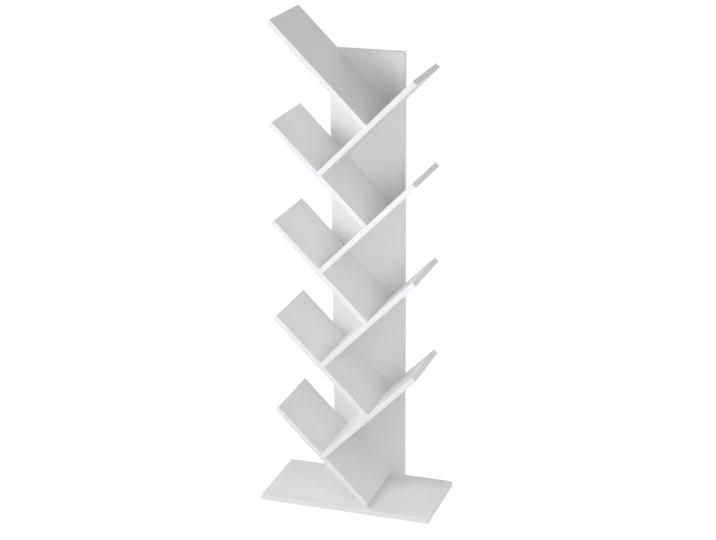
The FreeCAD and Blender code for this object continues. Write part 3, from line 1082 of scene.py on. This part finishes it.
@dataclass(frozen=True)
class Hardware:
    """What joins the boards and what the base stands on."""

    screw: Screw = Screw()
    dowel: Dowel = Dowel()
    cap: ScrewCap = ScrewCap()
    glide: Glide = Glide()
    screw_nodes: tuple[str, ...] = ("joint_screws", "upright_screws", "base_screws")
    dowel_nodes: tuple[str, ...] = ("joint_dowels", "base_dowels")
    cap_node: str = "joint_caps"
    glide_prefix: str = "glide_"
    nail_node: str = "glide_nails"

    def build(self, zinc: Material, beech: Material, plastic: Material) -> None:
        """Build the detailed pieces where the CAD model has its plain ones.

        Args:
            zinc: Finish of the screws and nails.
            beech: Finish of the dowels.
            plastic: Finish of the caps and glides.
        """
        self.build_screws(zinc)
        self.build_dowels(beech)
        self.build_caps(plastic)
        self.build_glides(plastic)
        dress_node(self.nail_node, zinc)

    def build_screws(self, zinc: Material) -> None:
        """Set threaded screws where the plain ones are.

        Args:
            zinc: Their finish.
        """
        screw = self.screw.template()
        for node in self.screw_nodes:
            piece = copies_at(screw, seats_of(node, Length.LONGEST), f"{node}_threaded")
            stand_for(piece, [node], zinc)

    def build_dowels(self, beech: Material) -> None:
        """Set fluted dowels where the plain ones are.

        Args:
            beech: Their finish.
        """
        dowel = self.dowel.template()
        for node in self.dowel_nodes:
            piece = copies_at(dowel, seats_of(node, Length.LONGEST), f"{node}_fluted")
            stand_for(piece, [node], beech)

    def build_caps(self, plastic: Material) -> None:
        """Set domed caps where the plain ones are.

        Args:
            plastic: Their finish.
        """
        seats = seats_of(self.cap_node, Length.SHORTEST)
        piece = copies_at(self.cap.template(), seats, f"{self.cap_node}_moulded")
        stand_for(piece, [self.cap_node], plastic)

    def build_glides(self, plastic: Material) -> None:
        """Set rounded glides where the plain ones are.

        Args:
            plastic: Their finish.
        """
        glide = self.glide.template()
        for node in sorted(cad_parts):
            if not node.startswith(self.glide_prefix) or node == self.nail_node:
                continue
            low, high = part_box(node)
            seat = Matrix.Translation(((low.x + high.x) / 2.0, (low.y + high.y) / 2.0, low.z))
            stand_for(copies_at(glide, [seat], f"{node}_moulded"), [node], plastic)


# Stage


@dataclass(frozen=True)
class Lamp:
    """A square soft lamp."""

    name: str
    place: tuple[float, float, float]
    aim: tuple[float, float, float]
    size: float
    power: float
    colour: Colour = COOL_WHITE

    def build(self) -> None:
        """Hang the lamp."""
        light = bpy.data.lights.new(self.name, "AREA")
        light.shape = "SQUARE"
        light.size = self.size
        light.energy = self.power
        light.color = self.colour
        lamp = bpy.data.objects.new(self.name, light)
        lamp.location = self.place
        lamp.rotation_euler = (Vector(self.aim) - Vector(self.place)).to_track_quat("-Z", "Y").to_euler()
        lamp.visible_camera = False
        bpy.context.scene.collection.objects.link(lamp)


class Side(Enum):
    """Sides of the room, each with its axis and the sign of its direction."""

    FRONT = ("Y", -1.0)
    BACK = ("Y", 1.0)
    LEFT = ("X", -1.0)
    RIGHT = ("X", 1.0)


@dataclass(frozen=True)
class Studio:
    """A white room, lit softly from its sides, with a key lamp, a left lamp and a small fill lamp."""

    lamps: tuple[Lamp, ...] = (
        Lamp("key_lamp", place=(-1.84, -2.0, 2.05), aim=(0.0, 0.0, 0.6), size=0.8, power=36.0),
        Lamp("left_lamp", place=(-2.7, -0.6, 1.5), aim=(0.0, 0.0, 0.8), size=1.2, power=14.5),
        Lamp("fill_lamp", place=(0.5, -0.8, 0.9), aim=(0.0, 0.0, 0.6), size=0.6, power=2.2),
    )
    by_side: tuple[tuple[Side, float], ...] = (
        (Side.FRONT, 0.53),
        (Side.BACK, 0.65),
        (Side.LEFT, 0.10),
        (Side.RIGHT, 0.53),
    )
    backdrop: float = 1.0
    floor_half_width: float = 20.0
    floor_colour: Colour = (0.8, 0.8, 0.8)
    shown_floor_colour: Colour = (0.4, 0.4, 0.4)
    shown_floor_glow: float = 0.86

    def build(self) -> None:
        """Build the world, the floor and the lamps."""
        self.build_world()
        self.build_floor()
        for lamp in self.lamps:
            lamp.build()

    def seen_rays(self, sheet: NodeSheet) -> NodeSocket:
        """Add a mask of the rays that show the background.

        Args:
            sheet: Sheet of the world or the floor.

        Returns:
            Socket that is 1 for camera, glossy and transmission rays.
        """
        path = sheet.add("ShaderNodeLightPath").outputs
        mirrored = sheet.math("MAXIMUM", path["Is Glossy Ray"], path["Is Transmission Ray"])
        return sheet.math("MAXIMUM", path["Is Camera Ray"], mirrored)

    def build_world(self) -> None:
        """Light the room by its sides, and show it white."""
        world = bpy.data.worlds.new("white_room")
        world.use_nodes = True
        sheet = NodeSheet(world.node_tree)
        outwards = sheet.add("ShaderNodeTexCoord").outputs["Generated"]
        direction = sheet.add("ShaderNodeSeparateXYZ", {"Vector": outwards}).outputs
        level: NodeSocket | float = 0.0
        for side, share in self.by_side:
            axis, sign = side.value
            towards = sheet.math("MULTIPLY", direction[axis], sign * share)
            level = sheet.math("ADD", level, sheet.math("MAXIMUM", towards, 0.0))
        seen = self.seen_rays(sheet)
        colour = sheet.blend(seen, COOL_WHITE, PLAIN_WHITE)
        strength = sheet.choose(seen, level, self.backdrop)
        background = sheet.add("ShaderNodeBackground", {"Color": colour, "Strength": strength})
        sheet.add("ShaderNodeOutputWorld", {"Surface": background.outputs[0]})
        bpy.context.scene.world = world

    def build_floor(self) -> None:
        """Lay a floor that shows white but keeps the soft shadow, and is clear from below."""
        mesh = bmesh.new()
        bmesh.ops.create_grid(mesh, x_segments=1, y_segments=1, size=self.floor_half_width)
        floor = bpy.data.objects.new("floor", bpy.data.meshes.new("floor"))
        mesh.to_mesh(floor.data)
        mesh.free()
        bpy.context.scene.collection.objects.link(floor)
        floor.data.materials.append(self.floor_material())

    def floor_material(self) -> Material:
        """Make the floor's finish.

        Returns:
            The material.
        """
        material = bpy.data.materials.new("pale floor")
        material.use_nodes = True
        sheet = NodeSheet(material.node_tree)
        plain = sheet.add("ShaderNodeBsdfDiffuse", {"Color": opaque(self.floor_colour)})
        shown = sheet.add("ShaderNodeBsdfDiffuse", {"Color": opaque(self.shown_floor_colour)})
        glow = sheet.add("ShaderNodeEmission", {"Strength": self.shown_floor_glow})
        bright = sheet.add("ShaderNodeAddShader", {0: shown.outputs[0], 1: glow.outputs[0]})
        by_ray = {0: self.seen_rays(sheet), 1: plain.outputs[0], 2: bright.outputs[0]}
        above = sheet.add("ShaderNodeMixShader", by_ray)
        below = sheet.add("ShaderNodeBsdfTransparent")
        backfacing = sheet.add("ShaderNodeNewGeometry").outputs["Backfacing"]
        by_face = {0: backfacing, 1: above.outputs[0], 2: below.outputs[0]}
        surface = sheet.add("ShaderNodeMixShader", by_face)
        sheet.add("ShaderNodeOutputMaterial", {"Surface": surface.outputs[0]})
        return material


@dataclass(frozen=True)
class PhotoCamera:
    """Camera at the photograph's viewing angle."""

    azimuth: float = math.radians(18.61)
    elevation: float = math.radians(19.28)
    roll: float = math.radians(-0.42)
    distance: float = 4.891
    aim: tuple[float, float, float] = (0.0067, 0.0, 0.6891)
    lens: float = 88.78
    sensor_width: float = 36.0

    def build(self) -> None:
        """Set up the camera."""
        back = Vector((
            math.sin(self.azimuth) * math.cos(self.elevation),
            -math.cos(self.azimuth) * math.cos(self.elevation),
            math.sin(self.elevation),
        ))
        level = Vector((math.cos(self.azimuth), math.sin(self.azimuth), 0.0))
        turned = Matrix((level, back.cross(level), back)).transposed().to_4x4()
        camera = bpy.data.objects.new("photo_camera", bpy.data.cameras.new("photo_camera"))
        camera.data.lens = self.lens
        camera.data.sensor_width = self.sensor_width
        place = Matrix.Translation(Vector(self.aim) + back * self.distance)
        camera.matrix_world = place @ turned @ Matrix.Rotation(self.roll, 4, "Z")
        bpy.context.scene.collection.objects.link(camera)
        bpy.context.scene.camera = camera


def main() -> None:
    """Dress the bookshelf and set the stage."""
    logging.basicConfig(level=logging.INFO, format="%(message)s")
    bpy.context.scene.view_settings.view_transform = "Standard"
    effects = SharedEffects.make()
    edging = WHITE_EDGING.material(effects)
    faced = {lie: FacedBoardFinish().material(lie, effects) for lie in Lie}
    for board in boards():
        board.dress(faced[board.lie], edging)
    zinc = ZINC_PLATE.material(effects)
    plastic = WHITE_PLASTIC.material(effects)
    Hardware().build(zinc, BeechFinish().material(), plastic)
    Studio().build()
    PhotoCamera().build()


if __name__ == "__main__":
    main()
